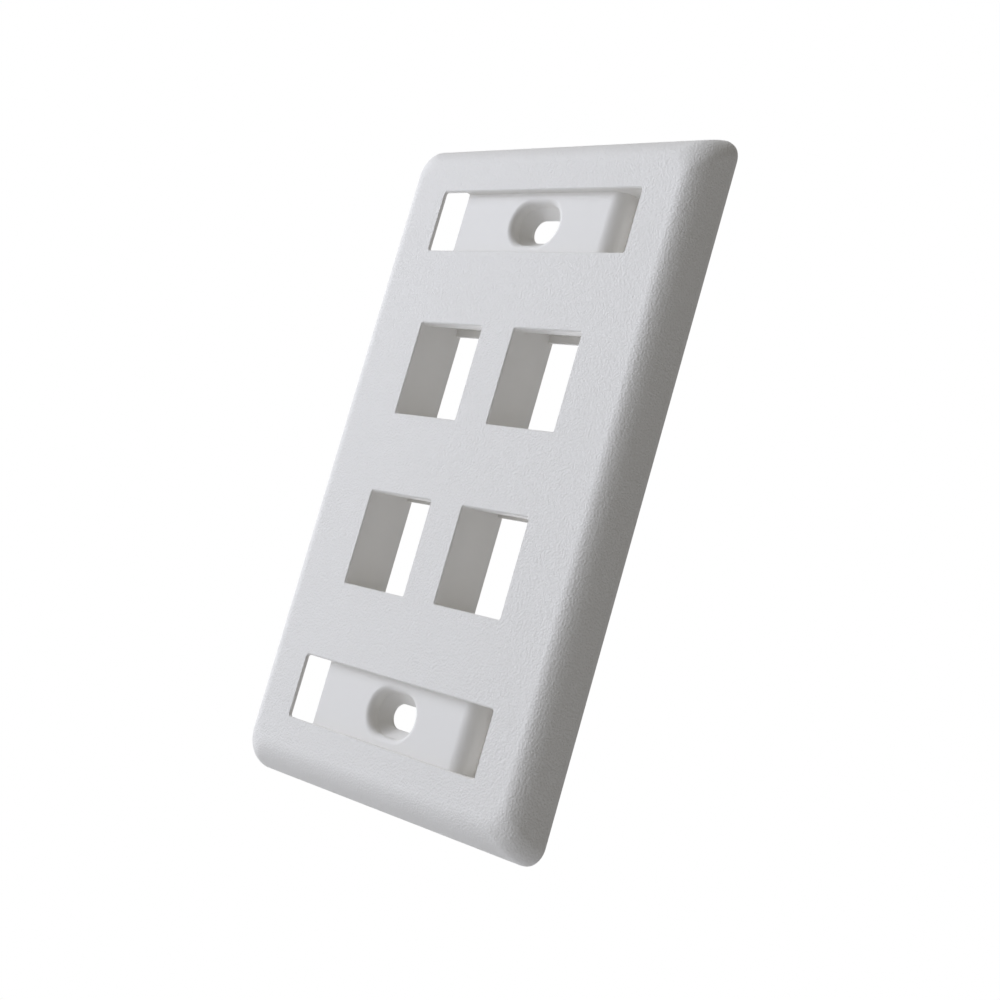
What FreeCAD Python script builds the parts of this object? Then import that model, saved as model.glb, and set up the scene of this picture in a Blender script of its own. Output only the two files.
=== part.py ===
import FreeCAD
import Part
import math
import os

# Single-gang wall faceplate with four keystone jack openings, moulded as one piece.
# Millimetres. X runs across the plate, Y runs into the wall and Z runs up.
# The origin is on the wall plane, midway between the two mounting screws.

# Shell: the depth is from the wall plane to the face
plate_width = 69.85
plate_height = 114.3
plate_depth = 6.1
edge_land = 0.5
edge_roll = 5.2
roll_radius = 3.4
corner_radius = 3.5
skin = 2.15
rim_wall = 2.0
edge_break = 0.2

# Keystone ports: every depth is measured back from the face
port_width = 14.95
port_height = 16.3
port_corner = 0.3
port_pitch_across = 22.66
port_pitch_up = 30.1
catch_depth = 8.2
housing_depth = 9.3
latch_pocket = 1.7
hook_pocket = 1.6
catch_relief = 0.4
catch_lead_in = 0.6
housing_wall = 1.3
housing_corner = 0.8

# Label recesses, one centred on each mounting screw
screw_pitch = 83.6
label_width = 45.7
label_height = 10.8
label_depth = 1.35
label_corner = 0.5
label_slot_width = 4.95
slot_lip = 0.5
slot_undercut = 2.0
slot_relief = 0.7
tilt_pocket_width = 4.25
shoulder_radius = 3.05
pan_wall = 1.3

# Screw wells: the hole is oblong, so that the screw can shift across by the travel
screw_hole_radius = 2.08
screw_travel = 3.2
screw_head_radius = 3.6
screw_seat_depth = 5.0
screw_seat_angle = 41.0
well_lip = 1.05
well_wall = 1.35
boss_setback = 0.65

# Stiffening ribs on the hidden side
rib_thickness = 1.2
rib_setback = 0.6

face = -plate_depth
overcut = 1.0
tiny = 0.001
outer_roll_steps = 7
inner_roll_steps = 4


def behind_face(depth):
    return face + depth


def box(low, high):
    size = [b - a for a, b in zip(low, high)]
    return Part.makeBox(size[0], size[1], size[2], FreeCAD.Vector(*low))


def outline_wire(points, bends=None):
    # A closed outline through (x, y) points. An edge that starts at a point named in bends is an
    # arc through the place given there, and every other edge is straight.
    bends = bends or {}
    corners = [FreeCAD.Vector(x, y, 0) for x, y in points]
    edges = []
    for index, start in enumerate(corners):
        end = corners[(index + 1) % len(corners)]
        if index in bends:
            edges.append(Part.Arc(start, FreeCAD.Vector(*bends[index], 0), end).toShape())
        else:
            edges.append(Part.LineSegment(start, end).toShape())
    return Part.Wire(edges)


def extrude_up(wire, low, high):
    outline = Part.Face(wire)
    outline.translate(FreeCAD.Vector(0, 0, low))
    return outline.extrude(FreeCAD.Vector(0, 0, high - low))


def runs_along_y(edge):
    return abs(edge.tangentAt(edge.FirstParameter).y) > 0.99


def rounded_rectangle(width, height, radius, y):
    # an upright rectangle with four quarter-round corners, in the plane at y
    half_x = width / 2 - radius
    half_z = height / 2 - radius
    centres = [(half_x, half_z), (-half_x, half_z), (-half_x, -half_z), (half_x, -half_z)]
    bends = []
    for turn, (x, z) in enumerate(centres):
        points = []
        for share in (0, 0.5, 1):
            angle = (turn + share) * math.pi / 2
            points.append(FreeCAD.Vector(x + radius * math.cos(angle), y, z + radius * math.sin(angle)))
        bends.append(points)
    edges = []
    for turn, points in enumerate(bends):
        edges.append(Part.Arc(*points).toShape())
        following = bends[(turn + 1) % 4]
        edges.append(Part.LineSegment(points[2], following[0]).toShape())
    return Part.Wire(edges)


def rolled_sections(width, height, depth, reach, bend, radius, steps):
    # The sections of a slab whose front edge rolls back on an arc of the bend radius, then runs
    # straight down to the land, where it meets the full outline. Each keeps the corner radius.
    rise = depth - edge_land
    side_angle = math.atan2(rise - bend, reach) + math.asin(bend / math.hypot(reach, rise - bend))
    sections = [rounded_rectangle(width, height, radius, -edge_land)]
    for step in range(steps + 1):
        turn = side_angle * (1 - step / steps)
        inset = reach - bend * math.sin(turn)
        y = -depth + bend * (1 - math.cos(turn))
        sections.append(rounded_rectangle(width - 2 * inset, height - 2 * inset, radius, y))
    return sections


def on_land(rolled, width, height, radius):
    # the straight land between the wall plane and the start of the side
    land = Part.Face(rounded_rectangle(width, height, radius, 0))
    return land.extrude(FreeCAD.Vector(0, -edge_land, 0)).fuse(rolled)


def outer_form():
    size = (plate_width, plate_height)
    sections = rolled_sections(*size, plate_depth, edge_roll, roll_radius, corner_radius, outer_roll_steps)
    side = Part.makeLoft(sections[:2], True, True)
    return on_land(side.fuse(Part.makeLoft(sections[1:], True, False)), *size, corner_radius)


def hollow():
    # the inside follows the roll in straight steps from section to section
    size = (plate_width - 2 * rim_wall, plate_height - 2 * rim_wall)
    bends = (edge_roll - rim_wall, roll_radius - rim_wall, corner_radius - rim_wall)
    sections = rolled_sections(*size, plate_depth - skin, *bends, inner_roll_steps)
    return on_land(Part.makeLoft(sections, True, True), *size, bends[2])


# Keystone ports


def port_centres():
    half_x = port_pitch_across / 2
    half_z = port_pitch_up / 2
    return [(x, z) for z in (half_z, -half_z) for x in (-half_x, half_x)]


def housing_bounds(x, z):
    half = port_width / 2 + housing_wall
    low = z - port_height / 2 - hook_pocket - housing_wall
    high = z + port_height / 2 + latch_pocket + housing_wall
    return x - half, x + half, low, high


def port_housing(x, z):
    left, right, low, high = housing_bounds(x, z)
    block = box((left, behind_face(skin / 2), low), (right, behind_face(housing_depth), high))
    return block.makeFillet(housing_corner, [edge for edge in block.Edges if runs_along_y(edge)])


def port_passage(x, z):
    left = x - port_width / 2
    right = x + port_width / 2
    bottom = z - port_height / 2
    top = z + port_height / 2
    rear = behind_face(housing_depth)
    through = box((left, face - overcut, bottom), (right, rear + overcut, top))
    through = through.makeFillet(port_corner, [edge for edge in through.Edges if runs_along_y(edge)])
    pockets = box(
        (left, behind_face(skin), bottom - hook_pocket),
        (right, behind_face(catch_depth), top + latch_pocket),
    )
    relief_top = top + catch_relief
    relief = box((left, behind_face(skin), bottom), (right, rear + overcut, relief_top))
    # a ramp on the back of the catch, which lets the jack's latch ride in from behind
    ramp = Part.makePolygon(
        [
            FreeCAD.Vector(left, rear, relief_top - overcut),
            FreeCAD.Vector(left, rear, relief_top + catch_lead_in),
            FreeCAD.Vector(left, rear - catch_lead_in, relief_top),
            FreeCAD.Vector(left, rear - catch_lead_in, relief_top - overcut),
            FreeCAD.Vector(left, rear, relief_top - overcut),
        ]
    )
    lead_in = Part.Face(ramp).extrude(FreeCAD.Vector(port_width, 0, 0))
    return through.multiFuse([pockets, relief, lead_in])


# Label recesses


def label_edges():
    return -label_width / 2, label_width / 2


def shoulder_arc(radius, wall_x):
    # start, middle and end of the quarter turn that carries the floor down into the tilt pocket
    centre_x = wall_x - shoulder_radius
    centre_y = behind_face(label_depth + shoulder_radius)
    turns = (math.pi / 2, math.pi / 4, 0)
    return [(centre_x + radius * math.cos(turn), centre_y - radius * math.sin(turn)) for turn in turns]


def label_cavity(z):
    # the recess: a shallow floor that rolls over a shoulder into a deeper pocket at its right end
    left, right = label_edges()
    start, middle, end = shoulder_arc(shoulder_radius, right - tilt_pocket_width)
    floor = behind_face(label_depth)
    front = face - overcut
    points = [(left, front), (left, floor), start, end, (right, end[1]), (right, front)]
    wire = outline_wire(points, {2: middle})
    cavity = extrude_up(wire, z - label_height / 2, z + label_height / 2)
    return cavity.makeFillet(label_corner, [edge for edge in cavity.Edges if runs_along_y(edge)])


def label_slot(z):
    # the slot at the left end, wider behind its lip, where the label window hooks in
    left = label_edges()[0]
    right = left + label_slot_width
    half = label_height / 2
    through = box((left, face - overcut, z - half), (right, behind_face(skin + overcut), z + half))
    upright = [edge for edge in through.Edges if runs_along_y(edge)]
    outer_corners = [edge for edge in upright if edge.BoundBox.XMax < right - tiny]
    through = through.makeFillet(label_corner, outer_corners)
    under = box(
        (left - slot_undercut, behind_face(slot_lip), z - half - slot_relief),
        (right, behind_face(skin + overcut), z + half + slot_relief),
    )
    return through.fuse(under)


def label_pan(z):
    # the moulding behind the recess, one wall thick, that follows the floor and its shoulder
    left, right = label_edges()
    inner_x = right - tilt_pocket_width
    start, middle, end = shoulder_arc(shoulder_radius - pan_wall, inner_x)
    pocket_back = behind_face(label_depth + shoulder_radius + pan_wall)
    back = behind_face(label_depth + pan_wall)
    root = behind_face(skin / 2)
    points = [
        (left + label_slot_width, root),
        (left + label_slot_width, back),
        start,
        end,
        (end[0], pocket_back),
        (right + pan_wall, pocket_back),
        (right + pan_wall, root),
    ]
    wire = outline_wire(points, {2: middle})
    half = label_height / 2 + pan_wall
    return extrude_up(wire, z - half, z + half)


# Screw wells


def turned_oblong(outline, z):
    # An outline of radius against Y, turned about each end of the screw's travel and carried
    # straight between them, so that its section is a slot with round ends.
    origin = FreeCAD.Vector(0, 0, 0)
    axis = FreeCAD.Vector(0, 1, 0)
    half = Part.Face(outline)
    pieces = []
    for end in (-screw_travel / 2, screw_travel / 2):
        turned = half.revolve(origin, axis, 360)
        turned.translate(FreeCAD.Vector(end, 0, z))
        pieces.append(turned)
    for quarter in (90, -90):
        upright = half.copy()
        upright.rotate(origin, axis, quarter)
        upright.translate(FreeCAD.Vector(-screw_travel / 2, 0, z))
        pieces.append(upright.extrude(FreeCAD.Vector(screw_travel, 0, 0)))
    return pieces[0].multiFuse(pieces[1:]).removeSplitter()


def screw_well(z):
    # the seat cone opens forward from the hole until it is as wide as the screw's head
    rise = (screw_head_radius - screw_hole_radius) / math.tan(math.radians(screw_seat_angle))
    lip_radius = screw_head_radius + well_lip
    floor = behind_face(label_depth)
    bend = well_lip * math.sqrt(0.5)
    points = [
        (0, face - overcut),
        (lip_radius, face - overcut),
        (lip_radius, floor),
        (screw_head_radius, floor + well_lip),
        (screw_head_radius, behind_face(screw_seat_depth) - rise),
        (screw_hole_radius, behind_face(screw_seat_depth)),
        (screw_hole_radius, overcut),
        (0, overcut),
    ]
    return turned_oblong(outline_wire(points, {2: (lip_radius - bend, floor + well_lip - bend)}), z)


def well_boss(z):
    radius = screw_head_radius + well_wall
    front = behind_face(label_depth)
    points = [(0, front), (radius, front), (radius, -boss_setback), (0, -boss_setback)]
    return turned_oblong(outline_wire(points), z)


# Ribs


def rib(low, high):
    front = behind_face(skin / 2)
    return box((low[0], front, low[1]), (high[0], -rib_setback, high[1]))


def ribs():
    # one across from each housing to the rim, and one up the middle of each column of ports
    half = rib_thickness / 2
    made = []
    for x, z in port_centres():
        ends = sorted((x + math.copysign(port_width / 2, x), math.copysign(plate_width / 2, x)))
        made.append(rib((ends[0], z - half), (ends[1], z + half)))
    for x in (-port_pitch_across / 2, port_pitch_across / 2):
        made.append(rib((x - half, -plate_height / 2), (x + half, plate_height / 2)))
    return made


# The whole part


def opening_edges(body):
    # the outlines of the ports and the recesses, which lie inside the flat of the face
    flats = [flat for flat in body.Faces if flat.BoundBox.YMax < face + tiny]
    front = max(flats, key=lambda flat: flat.Area)
    openings = [wire for wire in front.Wires if not wire.isSame(front.OuterWire)]
    return [edge for wire in openings for edge in wire.Edges]


def faceplate():
    outer = outer_form()
    centres = port_centres()
    screws = (screw_pitch / 2, -screw_pitch / 2)
    body = outer.cut(hollow())
    added = [port_housing(x, z) for x, z in centres]
    added += [label_pan(z) for z in screws]
    added += [well_boss(z) for z in screws]
    added += [rib.common(outer) for rib in ribs()]
    body = body.multiFuse(added)
    removed = [port_passage(x, z) for x, z in centres]
    removed += [label_cavity(z) for z in screws]
    removed += [label_slot(z) for z in screws]
    removed += [screw_well(z) for z in screws]
    body = body.cut(removed).removeSplitter()
    return body.makeChamfer(edge_break, opening_edges(body))


def main():
    os.makedirs("parts", exist_ok=True)
    shape = faceplate()
    print("faceplate: solids", len(shape.Solids), "valid", shape.isValid(), "volume", round(shape.Volume))
    shape.exportStep("parts/faceplate.step")


main()
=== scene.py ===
import math
import bmesh
import bpy
import numpy as np
from mathutils import Matrix, Vector


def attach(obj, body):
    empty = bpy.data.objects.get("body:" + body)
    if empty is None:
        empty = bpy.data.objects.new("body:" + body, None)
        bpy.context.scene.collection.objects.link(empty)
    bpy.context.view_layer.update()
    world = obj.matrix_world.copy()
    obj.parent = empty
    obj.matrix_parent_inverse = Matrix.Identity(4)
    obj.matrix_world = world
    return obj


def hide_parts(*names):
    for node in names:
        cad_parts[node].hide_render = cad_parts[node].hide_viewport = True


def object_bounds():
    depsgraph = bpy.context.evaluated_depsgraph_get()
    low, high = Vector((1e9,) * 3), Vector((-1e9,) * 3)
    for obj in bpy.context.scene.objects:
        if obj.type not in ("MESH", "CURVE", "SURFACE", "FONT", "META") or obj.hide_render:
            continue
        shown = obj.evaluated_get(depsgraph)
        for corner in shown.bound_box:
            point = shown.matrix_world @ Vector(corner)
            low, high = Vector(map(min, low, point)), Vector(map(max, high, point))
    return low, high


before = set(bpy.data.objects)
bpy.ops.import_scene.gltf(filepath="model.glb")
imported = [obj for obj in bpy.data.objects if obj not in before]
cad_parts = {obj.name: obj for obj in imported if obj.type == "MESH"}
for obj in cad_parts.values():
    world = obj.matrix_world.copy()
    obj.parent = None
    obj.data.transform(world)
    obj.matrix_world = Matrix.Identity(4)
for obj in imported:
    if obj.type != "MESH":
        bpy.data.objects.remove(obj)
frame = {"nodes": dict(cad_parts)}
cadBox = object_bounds()
scene = bpy.context.scene
scene.view_settings.view_transform = "Standard"
print("frame loaded:", ", ".join(frame["nodes"]))


# A socket that does arithmetic: every operator adds the Math node for it.
class Wire:
    def __init__(self, tree, socket):
        self.tree = tree
        self.socket = socket

    def math(self, operation, *values):
        return makeNode(self.tree, "ShaderNodeMath", {"operation": operation}, dict(enumerate(values)))

    def __add__(self, other):
        return self.math("ADD", self, other)

    def __radd__(self, other):
        return self.math("ADD", other, self)

    def __sub__(self, other):
        return self.math("SUBTRACT", self, other)

    def __rsub__(self, other):
        return self.math("SUBTRACT", other, self)

    def __mul__(self, other):
        return self.math("MULTIPLY", self, other)

    def __rmul__(self, other):
        return self.math("MULTIPLY", other, self)

    def output(self, name):
        return Wire(self.tree, self.socket.node.outputs[name])

    def clamped(self):
        return makeNode(self.tree, "ShaderNodeClamp", {}, {"Value": self})


def makeNode(tree, kind, settings=None, inputs=None):
    # any node: its settings first, then each socket gets a value or a link
    node = tree.nodes.new(kind)
    for name, value in (settings or {}).items():
        setattr(node, name, value)
    for name, value in (inputs or {}).items():
        if isinstance(value, Wire):
            tree.links.new(value.socket, node.inputs[name])
        else:
            node.inputs[name].default_value = value
    return Wire(tree, node.outputs[0]) if node.outputs else node


def newMaterial(name):
    material = bpy.data.materials.new(name)
    material.use_nodes = True
    material.node_tree.nodes.clear()
    return material, material.node_tree


# Camera

camera = {
    "place": (0.197902, -0.186130, -0.034107),
    "aim": (0.0085516, -0.003, -0.0044719),
    "roll": -16.1055,
    "lens": 60.0,
    "sensor": 36.0,
    "nearest": 0.01,
}


def makeCamera():
    data = bpy.data.cameras.new("camera")
    data.lens = camera["lens"]
    data.sensor_width = camera["sensor"]
    data.clip_start = camera["nearest"]
    ahead = (Vector(camera["aim"]) - Vector(camera["place"])).normalized()
    across = ahead.cross(Vector((0, 0, 1))).normalized()
    rolled = Matrix.Rotation(math.radians(camera["roll"]), 3, ahead)
    across = rolled @ across
    upward = across.cross(ahead)
    view = bpy.data.objects.new("camera", data)
    view.matrix_world = Matrix((
        (across.x, upward.x, -ahead.x, camera["place"][0]),
        (across.y, upward.y, -ahead.y, camera["place"][1]),
        (across.z, upward.z, -ahead.z, camera["place"][2]),
        (0, 0, 0, 1),
    ))
    scene.collection.objects.link(view)
    scene.camera = view


makeCamera()
print("camera ready")


# The moulding

moulding = {
    "colour": (0.80, 0.785, 0.75, 1),
    "tintedColour": (0.79, 0.773, 0.735, 1),
    "polishedRoughness": 0.56,
    "grainedRoughness": 0.6,
    "specular": 0.33,
    "pebblePitch": 0.00034,
    "pebbleHeight": 0.000072,
    "pebbleSmoothness": 0.5,
    "pebbleMiddle": 0.5,
    "pebbleSheen": 0.1,
    "mottlePitch": 0.03,
    "mottleDetail": 2.0,
    "edgeLand": 0.0005,
    "rollReach": 0.0052,
    "rollBend": 0.0034,
    "rollArcs": ((0.0042, 27), (0.0062, 56), (0.0098, 73)),
    "rollSteps": 300,
    "rollRings": 12,
    "cornerRadius": 0.0035,
    "smoothAngle": 28,
    "flatWeight": 1e5,
    "flatLimit": 1e-6,
    "leastArea": 1e-14,
    "nearlyNothing": 1e-20,
    "weld": 1e-7,
    "faceTolerance": 0.000005,
    "rollTolerance": 0.0001,
}


def patchNumbers(corners, count):
    # The number of the patch that each triangle belongs to: the lowest number among its corners
    # spreads from triangle to triangle until a whole patch shares it.
    numbers = np.arange(count)
    while True:
        lowest = numbers[corners].min(1)
        spread = numbers.copy()
        np.minimum.at(spread, corners, lowest[:, None])
        if (spread == numbers).all():
            return lowest
        numbers = spread


def unit(vectors):
    lengths = np.linalg.norm(vectors, axis=1, keepdims=True)
    return vectors / np.maximum(lengths, moulding["nearlyNothing"])


def evenNormals(points, corners, patch, spot):
    # The shading direction at each corner is the mean of the facets that meet there within the
    # smooth angle, weighed by area. A facet of a flat patch outweighs the curved ones beside it,
    # so that a flat stays flat up to its border and a curve leaves it without a crease.
    sides = points[corners]
    facet = np.cross(sides[:, 1] - sides[:, 0], sides[:, 2] - sides[:, 0])
    area = np.linalg.norm(facet, axis=1)
    total = np.zeros((patch.max() + 1, 3))
    np.add.at(total, patch, facet)
    mean = unit(total)[patch]
    facet = np.where(area[:, None] > moulding["leastArea"], unit(facet), mean)
    bent = np.zeros(len(total))
    np.maximum.at(bent, patch, 1 - (facet * mean).sum(1))
    weight = area * np.where(bent[patch] < moulding["flatLimit"], moulding["flatWeight"], 1)
    weight += moulding["nearlyNothing"]
    order = np.argsort(spot, kind="stable")
    first = np.searchsorted(spot[order], spot, "left")
    meeting = np.searchsorted(spot[order], spot, "right") - first
    here = np.repeat(np.arange(len(spot)), meeting)
    step = np.arange(meeting.sum()) - np.repeat(np.cumsum(meeting) - meeting, meeting)
    there = order[np.repeat(first, meeting) + step] // 3
    alike = (facet[here // 3] * facet[there]).sum(1) > math.cos(math.radians(moulding["smoothAngle"]))
    normals = np.zeros((len(spot), 3))
    np.add.at(normals, here[alike], (facet * weight[:, None])[there[alike]])
    return unit(normals)


def fromCorner(points, halves):
    # how far each point lies across and up from the centre of the nearest corner's round
    return np.maximum(np.abs(points[:, [0, 2]]) - (halves - moulding["cornerRadius"]), 0)


def faceFacets(points, corners):
    # the face is every facet that lies in the front plane
    return (points[corners][:, :, 1] < points[:, 1].min() + moulding["faceTolerance"]).all(1)


def plainRoll(behind, depth):
    # How far the node's edge has drawn in at each depth behind the face: an arc leaves the face,
    # and a straight side follows it at the angle of the line from the land that touches the arc.
    reach, bend, land = (moulding[name] for name in ("rollReach", "rollBend", "edgeLand"))
    above = depth - land - bend
    side = math.atan2(above, reach) + math.asin(bend / math.hypot(reach, above))
    turn = np.arccos(np.clip(1 - behind / bend, -1, 1))
    return np.where(turn < side, reach - bend * np.sin(turn), (depth - land - behind) / math.tan(side))


def rollFacets(points, corners, halves, depth):
    # A facet is on the rolled edge when each corner lies on the edge's section, which leaves out the
    # land behind it and the face.
    inset = plainRoll(depth + points[:, 1], depth)[:, None]
    away = np.linalg.norm(fromCorner(points, halves - inset), axis=1) - moulding["cornerRadius"]
    near = np.abs(away) < moulding["rollTolerance"]
    beforeLand = points[corners][:, :, 1].mean(1) < -moulding["edgeLand"]
    return near[corners].all(1) & beforeLand & ~faceFacets(points, corners)


def fullRoll(depth):
    # The same edge as arcs that open out towards the land, each given by its radius and the turn
    # it ends on: a step along one moves by the radius times the change in the turn's sine and
    # cosine. Both sums are then fitted to the edge's own reach and depth.
    radii, ends = np.array(moulding["rollArcs"]).T
    turn = np.linspace(0, math.radians(ends[-1]), moulding["rollSteps"])
    radius = radii[np.searchsorted(np.radians(ends), (turn[1:] + turn[:-1]) / 2)]
    inwards = np.append(0, np.cumsum(radius * np.diff(np.sin(turn))))
    behind = np.append(0, np.cumsum(radius * -np.diff(np.cos(turn))))
    inset = moulding["rollReach"] * (1 - inwards / inwards[-1])
    return turn, inset, behind * (depth - moulding["edgeLand"]) / behind[-1]


def meshArrays(mesh):
    points = np.empty(len(mesh.vertices) * 3)
    mesh.vertices.foreach_get("co", points)
    corners = np.empty(len(mesh.polygons) * 3, np.int64)
    mesh.loops.foreach_get("vertex_index", corners)
    return points.reshape(-1, 3), corners.reshape(-1, 3)


def fillRoll(points, corners, halves, depth):
    # The roll is cut into rings from the land to the face, and each ring keeps its depth and draws
    # in as the full section does. Rounds at the corners shift across and up together.
    mesh = bpy.data.meshes.new("roll")
    mesh.from_pydata(points.tolist(), [], corners.tolist())
    work = bmesh.new()
    work.from_mesh(mesh)
    bmesh.ops.delete(work, geom=[vert for vert in work.verts if not vert.link_faces], context="VERTS")
    land = moulding["edgeLand"]
    for y in np.linspace(-depth, -land, moulding["rollRings"] + 2)[1:-1]:
        bmesh.ops.bisect_plane(work, geom=work.verts[:] + work.edges[:] + work.faces[:],
                               dist=moulding["weld"], plane_co=(0, y, 0), plane_no=(0, 1, 0))
    bmesh.ops.triangulate(work, faces=work.faces[:])
    work.to_mesh(mesh)
    work.free()
    points, corners = meshArrays(mesh)
    behind = depth + points[:, 1]
    inset = plainRoll(behind, depth)
    turn, sectionInset, sectionBehind = fullRoll(depth)
    moved = inset - np.interp(behind, sectionBehind, sectionInset)
    rounds = halves - moulding["cornerRadius"] - inset[:, None] - moulding["weld"]
    shifts = (np.abs(points[:, [0, 2]]) > rounds) * moved[:, None]
    points[:, [0, 2]] += np.sign(points[:, [0, 2]]) * shifts
    # it looks outwards as the turn's sine and forwards as its cosine, and a corner's round draws
    # in across and up at once, which adds those two shares of the forward part
    turn = np.interp(behind, sectionBehind, turn)
    inset = np.interp(behind, sectionBehind, sectionInset)
    outwards = unit(fromCorner(points, halves - inset[:, None]))
    across, up = (outwards * np.sign(points[:, [0, 2]]) * np.sin(turn)[:, None]).T
    return points, corners, unit(np.stack([across, -np.cos(turn) * outwards.sum(1), up], 1))


def weldedMesh(node):
    # The node's triangles share corners only inside one patch of its surface. Here the patches are
    # joined where they meet, and every corner keeps a shading direction of its own.
    points, corners = meshArrays(node.data)
    halves = points.max(0)[[0, 2]]
    depth = -points[:, 1].min()
    onRoll = rollFacets(points, corners, halves, depth)
    roll, rollCorners, rollNormals = fillRoll(points, corners[onRoll], halves, depth)
    rolled = np.repeat(np.arange(2), [(~onRoll).sum(), len(rollCorners)]) == 1
    corners = np.concatenate([corners[~onRoll], rollCorners + len(points)])
    directions = np.concatenate([np.zeros_like(points), rollNormals])
    points = np.concatenate([points, roll])
    spots = np.unique(np.round(points / moulding["weld"]), axis=0, return_inverse=True)[1].ravel()
    welded = spots[corners]
    whole = (welded != np.roll(welded, 1, axis=1)).all(1)
    corners, welded, rolled = corners[whole], welded[whole], rolled[whole]
    normals = evenNormals(points, corners, patchNumbers(corners, len(points)), welded.ravel())
    onEdge = np.repeat(rolled, 3)
    normals[onEdge] = directions[corners.ravel()[onEdge]]
    places = np.zeros((spots.max() + 1, 3))
    places[spots] = points
    mesh = bpy.data.meshes.new("mouldedFaceplate")
    mesh.from_pydata(places.tolist(), [], welded.tolist())
    mesh.shade_smooth()
    mesh.normals_split_custom_set(normals.tolist())
    grain = mesh.attributes.new("grain", "FLOAT", "FACE")
    grain.data.foreach_set("value", (faceFacets(points, corners) | rolled).astype(np.float32))
    print("welded:", (~whole).sum(), "collapsed triangles left out of", len(whole))
    return mesh


def makePlastic():
    material, tree = newMaterial("mouldedPlastic")
    place = makeNode(tree, "ShaderNodeTexCoord").output("Object")
    etched = makeNode(tree, "ShaderNodeAttribute", {"attribute_name": "grain"}).output("Fac")
    pebbles = makeNode(tree, "ShaderNodeTexVoronoi", {"feature": "SMOOTH_F1"}, {
        "Vector": place, "Scale": 1 / moulding["pebblePitch"], "Smoothness": moulding["pebbleSmoothness"],
    }).output("Distance")
    mottle = makeNode(tree, "ShaderNodeTexNoise", {}, {
        "Vector": place, "Scale": 1 / moulding["mottlePitch"], "Detail": moulding["mottleDetail"],
    })
    rougher = moulding["grainedRoughness"] - moulding["polishedRoughness"]
    sheen = (pebbles - moulding["pebbleMiddle"]) * moulding["pebbleSheen"]
    roughness = moulding["polishedRoughness"] + etched * rougher + sheen
    colour = makeNode(tree, "ShaderNodeMix", {"data_type": "RGBA"}, {
        "Factor": mottle, "A": moulding["colour"], "B": moulding["tintedColour"],
    }).output("Result")
    bump = makeNode(tree, "ShaderNodeBump", {}, {
        "Height": pebbles * etched, "Distance": moulding["pebbleHeight"],
    })
    surface = makeNode(tree, "ShaderNodeBsdfPrincipled", {}, {
        "Base Color": colour,
        "Roughness": roughness,
        "Specular IOR Level": moulding["specular"],
        "Normal": bump,
    })
    makeNode(tree, "ShaderNodeOutputMaterial", {}, {"Surface": surface})
    return material


def makeFaceplate():
    node = frame["nodes"]["faceplate"]
    mesh = weldedMesh(node)
    mesh.materials.append(makePlastic())
    piece = bpy.data.objects.new("mouldedFaceplate", mesh)
    scene.collection.objects.link(piece)
    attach(piece, "root")
    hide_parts("faceplate")


makeFaceplate()
print("faceplate ready")


# Studio

studio = {
    # each lamp: the turn from the front towards the left and the height above level, in degrees,
    # then the distance, the size and the power
    "lamps": {
        "keyLamp": (50, 30, 1.3, 0.8, 8.6),
        "fillLamp": (50, 5, 1.3, 0.8, 7.1),
        "rimLamp": (150, 5, 1.3, 0.8, 15.0),
    },
    "lampColour": (0.86, 0.895, 1.0),
    "ambient": 0.185,
    "ambientColour": (1.0, 0.97, 0.92, 1),
    "floorDrop": 0.25,
    "floorSize": 6.0,
    "floorColour": (0.8, 0.8, 0.8, 1),
    "floorWhite": 0.85,
    "whiteFrom": 0.35,
    "whiteBy": 0.8,
}


def seenDirectly(tree):
    # 1 for what the camera sees straight, in a reflection or through glass
    path = makeNode(tree, "ShaderNodeLightPath")
    return (path.output("Is Camera Ray") + path.output("Is Glossy Ray")
            + path.output("Is Transmission Ray")).clamped()


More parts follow.
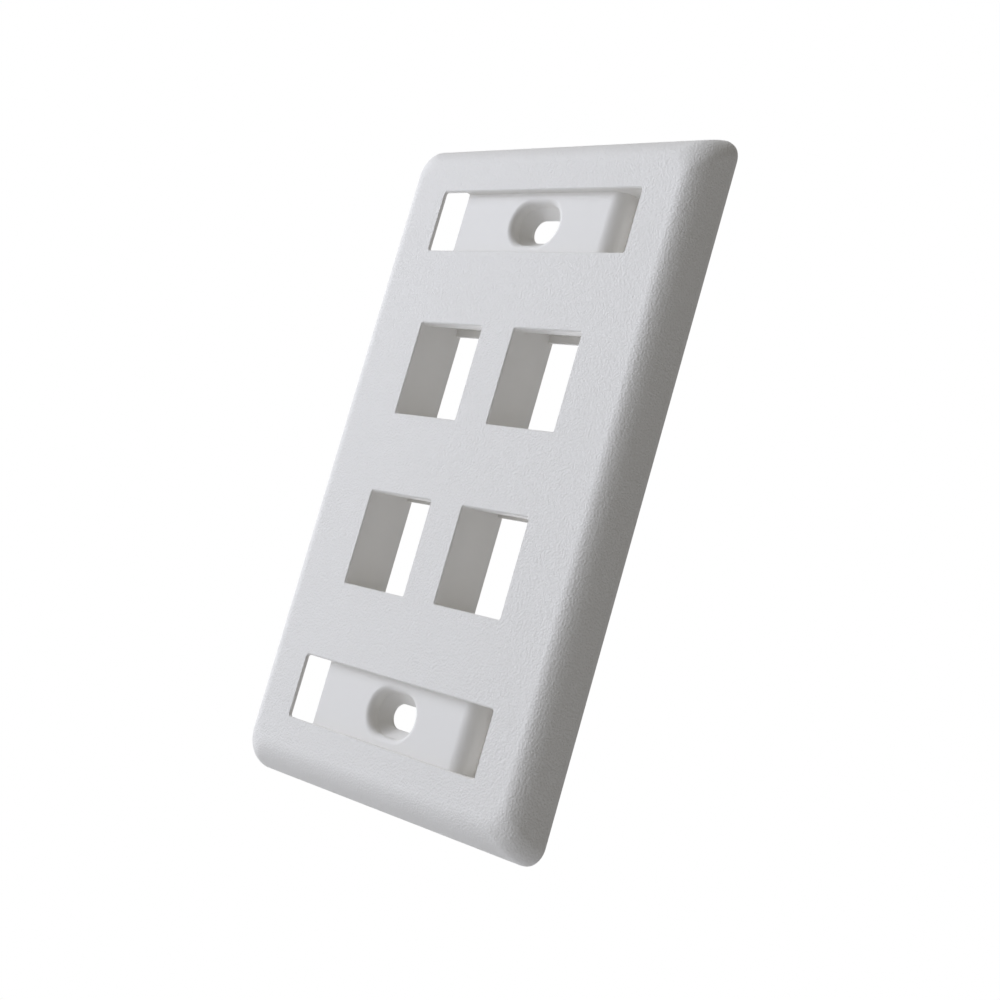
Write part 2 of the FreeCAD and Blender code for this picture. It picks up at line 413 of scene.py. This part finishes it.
def makeWorld():
    world = bpy.data.worlds.new("studio")
    world.use_nodes = True
    tree = world.node_tree
    tree.nodes.clear()
    dim = makeNode(tree, "ShaderNodeBackground", {}, {
        "Color": studio["ambientColour"], "Strength": studio["ambient"],
    })
    white = makeNode(tree, "ShaderNodeBackground", {}, {"Color": (1, 1, 1, 1), "Strength": 1.0})
    sky = makeNode(tree, "ShaderNodeMixShader", {}, {0: seenDirectly(tree), 1: dim, 2: white})
    makeNode(tree, "ShaderNodeOutputWorld", {}, {"Surface": sky})
    scene.world = world


def makeFloor():
    half = studio["floorSize"] / 2
    level = cadBox[0].z - studio["floorDrop"]
    mesh = bpy.data.meshes.new("floor")
    corners = [(-half, -half, level), (half, -half, level), (half, half, level), (-half, half, level)]
    mesh.from_pydata(corners, [], [(0, 1, 2, 3)])
    material, tree = newMaterial("paleFloor")
    paint = makeNode(tree, "ShaderNodeBsdfDiffuse", {}, {"Color": studio["floorColour"]})
    white = makeNode(tree, "ShaderNodeEmission", {}, {"Color": (1, 1, 1, 1), "Strength": 1.0})
    # under the object the floor shows its shadow, and away from it the floor turns white
    place = makeNode(tree, "ShaderNodeTexCoord").output("Object")
    reach = makeNode(tree, "ShaderNodeVectorMath", {"operation": "DISTANCE"}, {0: place, 1: (0, 0, level)})
    away = makeNode(tree, "ShaderNodeMapRange", {"interpolation_type": "SMOOTHSTEP"}, {
        "Value": reach.output("Value"), "From Min": studio["whiteFrom"], "From Max": studio["whiteBy"],
        "To Min": studio["floorWhite"], "To Max": 1.0,
    })
    mixed = makeNode(tree, "ShaderNodeMixShader", {}, {0: seenDirectly(tree) * away, 1: paint, 2: white})
    makeNode(tree, "ShaderNodeOutputMaterial", {}, {"Surface": mixed})
    mesh.materials.append(material)
    floor = bpy.data.objects.new("floor", mesh)
    scene.collection.objects.link(floor)


def makeLamp(name, turn, height, distance, size, watts):
    data = bpy.data.lights.new(name, "AREA")
    data.shape = "DISK"
    data.size = size
    data.energy = watts
    data.color = studio["lampColour"]
    turn = math.radians(turn)
    height = math.radians(height)
    level = math.cos(height)
    direction = Vector((-math.sin(turn) * level, -math.cos(turn) * level, math.sin(height)))
    lamp = bpy.data.objects.new(name, data)
    lamp.location = direction * distance
    lamp.rotation_euler = direction.to_track_quat("Z", "Y").to_euler()
    scene.collection.objects.link(lamp)


makeWorld()
makeFloor()
for name, values in studio["lamps"].items():
    makeLamp(name, *values)
print("studio ready")
